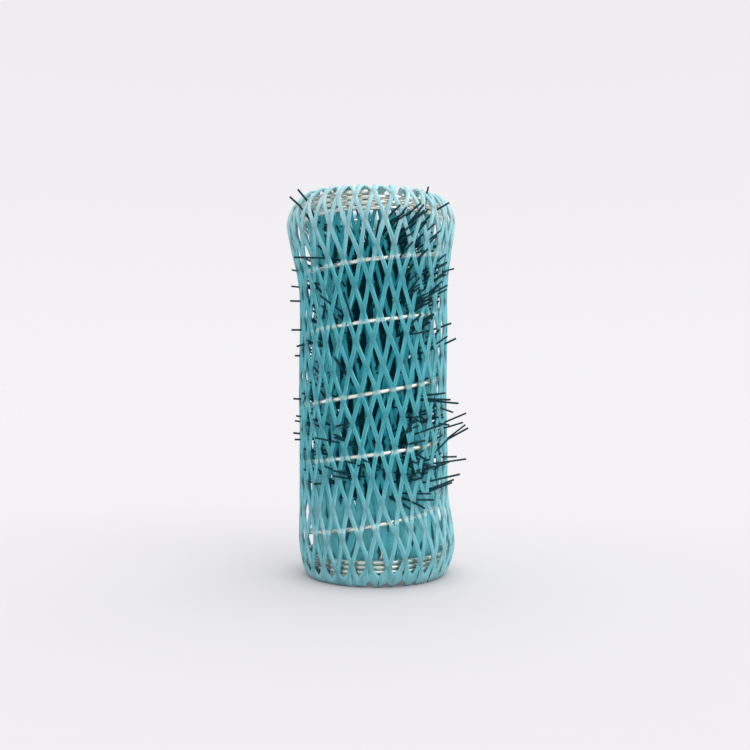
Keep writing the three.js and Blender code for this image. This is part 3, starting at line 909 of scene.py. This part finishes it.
def net_plastic():
    """Turquoise plastic that lets light through, with draw lines along its strands. Its strands' edges
    carry a painted highlight, the lit spring right behind it is painted in as a paler glimpse, and painted
    light makes it paler on the upper bulge, round the lower bulge and foot, on the right side and on the
    bunched sides of the tucked ends. It is more saturated in the tucked ends."""
    material, nodes, links, shader = new_material("net_plastic")
    streak = noise(nodes, links, 2.2, 3.0, (1.6, 0.12, 1), "grain")
    cloud = noise(nodes, links, 1.0, 2.0, (0.2, 0.3, 1), "grain")
    backed, tucked, painted_paleness = parts_of(nodes, links, "place")
    light = ramp(nodes, links, streak, (0.025, 0.31, 0.37), (0.075, 0.43, 0.485))
    deep = ramp(nodes, links, streak, (0.008, 0.22, 0.275), (0.025, 0.30, 0.36))
    # painted highlight: the strands' edges are paler, standing for the bright surroundings that they
    # reflect
    painted_edge_highlight = ramp(nodes, links, streak, (0.10, 0.54, 0.60), (0.20, 0.69, 0.74))
    # painted light that makes the strands paler where strand_places says so
    painted_pale = ramp(nodes, links, streak, (0.28, 0.58, 0.63), (0.53, 0.77, 0.79))
    # painted glimpse of the lit spring wire seen through a strand right in front of it
    wire_glimpse_painted = ramp(nodes, links, streak, (0.35, 0.66, 0.66), (0.62, 0.84, 0.82))
    lining = ramp(nodes, links, streak, (0.004, 0.34, 0.42), (0.015, 0.48, 0.57))
    # painted light coming through the bunched tucked ends at the roller's sides
    painted_pale_lining = ramp(nodes, links, streak, (0.14, 0.66, 0.73), (0.26, 0.78, 0.83))
    lining = mixed(nodes, links, lining, painted_pale_lining, painted_paleness)
    body = mixed(nodes, links, deep, light, cloud)
    rim = near_edge(nodes, links)
    links.new(spread(nodes, links, rim, 0.5, 0.15), shader.inputs["Specular IOR Level"])
    body = mixed(nodes, links, body, painted_edge_highlight, rim)
    body = mixed(nodes, links, body, painted_pale, spread(nodes, links, painted_paleness, 0, 0.95))
    body = mixed(nodes, links, body, wire_glimpse_painted, spread(nodes, links, backed, 0, 0.6))
    body = mixed(nodes, links, body, lining, tucked)
    links.new(body, shader.inputs["Base Color"])
    shader.inputs["Subsurface Weight"].default_value = 0.25
    shader.inputs["Subsurface Radius"].default_value = (0.8, 0.95, 1.0)
    shader.inputs["Subsurface Scale"].default_value = MM
    shader.inputs["IOR"].default_value = 1.5
    links.new(spread(nodes, links, streak, 0.12, 0.34), shader.inputs["Roughness"])
    links.new(bump(nodes, links, streak, 0.3, 0.06 * MM), shader.inputs["Normal"])
    return material


FOOT_SHADE_END = (4, 6)  # heights between which wire changes from its painted shade at the foot to its own colours


def wire_steel(name, dark, bright, shaded_foot_dark, shaded_foot_bright):
    """Drawn steel wire with streaks between a dark and a bright colour. In the closed turns that the
    foot's fold wraps it takes two darker, greener colours instead: painted shade, and the teal light that
    reaches it through the net."""
    material, nodes, links, shader = new_material(name)
    streak = noise(nodes, links, 260, 2.0, (1, 1, 4))
    height = coordinate(nodes, links, "Object", "Z")
    above_foot = passed(nodes, links, height, FOOT_SHADE_END[0] * MM, FOOT_SHADE_END[1] * MM)
    own = ramp(nodes, links, streak, dark, bright, 0.3, 0.6)
    foot_shaded = ramp(nodes, links, streak, shaded_foot_dark, shaded_foot_bright, 0.3, 0.6)
    links.new(mixed(nodes, links, foot_shaded, own, above_foot), shader.inputs["Base Color"])
    shader.inputs["Metallic"].default_value = 0.75
    links.new(spread(nodes, links, streak, 0.15, 0.35), shader.inputs["Roughness"])
    links.new(bump(nodes, links, streak, 0.1, 0.04 * MM), shader.inputs["Normal"])
    return material


def bristle_nylon():
    """Near-black nylon with a green cast. Its faint glow stands for light that gets round inside."""
    material, nodes, links, shader = new_material("bristle_nylon")
    cloud = noise(nodes, links, 700)
    colour = ramp(nodes, links, cloud, (0.0015, 0.018, 0.023), (0.005, 0.040, 0.048))
    links.new(colour, shader.inputs["Base Color"])
    shader.inputs["Emission Color"].default_value = (0.0001, 0.009, 0.0125, 1)
    shader.inputs["Emission Strength"].default_value = 1.0
    shader.inputs["Specular IOR Level"].default_value = 0.12
    links.new(spread(nodes, links, cloud, 0.35, 0.55), shader.inputs["Roughness"])
    return material


# Studio ------------------------------------------------------------------------------------------

BACKDROP_LOW = (0.903, 0.888, 0.906)
BACKDROP_HIGH = (0.863, 0.847, 0.871)
BACKDROP_RISE = 0.35  # how steeply upwards the backdrop reaches its upper colour, as a sine
FLOOR_COLOUR = (0.52, 0.515, 0.524, 1)
GLOW_NEAR = (0.395, 0.385, 0.39)  # of the floor's painted glow, which stands for soft light and is brighter away from the camera
GLOW_FAR = (0.44, 0.428, 0.427)
GLOW_FROM = -20  # the floor has the first up to this place along Y
GLOW_TO = 110  # and the second from here
CONTACT = 6  # distance from the roller within which the floor's painted glow is weaker, a painted contact shadow
FLOOR_HALF = 4000
CAMERA_PLACE = (0.3, -149, 32.44)
CAMERA_TILT = 90.326  # degrees, where 90 is level


def floor_material():
    """Pale paint with a painted glow of its own that stands for soft light, weaker round the roller's foot
    as a painted contact shadow.
    """
    material, nodes, links, shader = new_material("floor_paint")
    shader.inputs["Base Color"].default_value = FLOOR_COLOUR
    shader.inputs["Roughness"].default_value = 0.25
    shader.inputs["Specular IOR Level"].default_value = 0.0
    place = coordinate(nodes, links, "Object", "Y")
    depth = passed(nodes, links, place, GLOW_FROM * MM, GLOW_TO * MM, "SMOOTHSTEP")
    glow = ramp(nodes, links, depth, GLOW_NEAR, GLOW_FAR, 0, 1)
    # painted contact shadow: ambient occlusion weakens the floor's glow near the roller
    contact = nodes.new("ShaderNodeAmbientOcclusion")
    contact.inputs["Distance"].default_value = CONTACT * MM
    links.new(glow, contact.inputs["Color"])
    links.new(contact.outputs["Color"], shader.inputs["Emission Color"])
    shader.inputs["Emission Strength"].default_value = 0.5
    return material


def make_studio():
    """The floor, the backdrop and three soft lights."""
    half = FLOOR_HALF * MM
    floor = bpy.data.meshes.new("floor")
    corners = [(-half, -half), (half, -half), (half, half), (-half, half)]
    floor.from_pydata([(x, y, FLOOR_Z) for x, y in corners], [], [(0, 1, 2, 3)])
    floor_object = bpy.data.objects.new("floor", floor)
    bpy.context.scene.collection.objects.link(floor_object)
    floor.materials.append(floor_material())

    world = bpy.data.worlds.new("studio")
    world.use_nodes = True
    nodes, links = world.node_tree.nodes, world.node_tree.links
    upward = coordinate(nodes, links, "Generated", "Z")
    backdrop = ramp(nodes, links, upward, BACKDROP_LOW, BACKDROP_HIGH, 0.0, BACKDROP_RISE)
    links.new(backdrop, nodes["Background"].inputs["Color"])
    bpy.context.scene.world = world

    def soft_light(name, place, wide, power):
        """A light from the direction of a place, which looks this many degrees wide."""
        lamp = bpy.data.lights.new(name, "SUN")
        lamp.angle = math.radians(wide)
        lamp.energy = power
        holder = bpy.data.objects.new(name, lamp)
        holder.location = place
        holder.rotation_euler = (-Vector(place)).to_track_quat("-Z", "Y").to_euler()
        bpy.context.scene.collection.objects.link(holder)

    soft_light("key", (0.5, -0.7, 0.75), 60, 0.66)
    soft_light("fill", (0.9, -0.15, 0.3), 110, 0.75)
    soft_light("top", (0.1, 0.35, 1.0), 50, 0.8)


def make_camera():
    camera = bpy.data.cameras.new("camera")
    camera.lens = 42.24
    camera.sensor_width = 36
    camera.clip_start = 10 * MM
    holder = bpy.data.objects.new("camera", camera)
    holder.location = Vector(CAMERA_PLACE) * MM
    holder.rotation_euler = (math.radians(CAMERA_TILT), 0, 0)
    bpy.context.scene.collection.objects.link(holder)
    bpy.context.scene.camera = holder


# The roller --------------------------------------------------------------------------------------

make_camera()
make_studio()

net_piece = make_net()
net_piece.data.materials.append(net_plastic())
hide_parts("net_sleeve")

spring_piece = make_spring()
spring_colours = (0.72, 0.74, 0.65), (0.93, 0.93, 0.84)
# darker and greener at the foot: painted shade and teal light through the net, not the steel's own colour
spring_foot_shaded_colours = (0.44, 0.54, 0.49), (0.66, 0.74, 0.68)
spring_piece.data.materials.append(wire_steel("spring_steel", *spring_colours, *spring_foot_shaded_colours))
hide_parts("wire_spring")

stem_piece = make_stem()
stem_colours = (0.45, 0.45, 0.44), (0.8, 0.8, 0.78)
stem_piece.data.materials.append(wire_steel("stem_steel", *stem_colours, *stem_colours))
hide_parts("stem_wire")

brush = Brush()
brush.fill()
brush.add_sprays()
nylon = bristle_nylon()
bristle_pieces = brush.pieces()
for bristle_piece in bristle_pieces:
    bristle_piece.data.materials.append(nylon)

for piece in [net_piece, spring_piece, stem_piece, *bristle_pieces]:
    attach(piece, "root")

bpy.context.scene.view_settings.view_transform = "Standard"
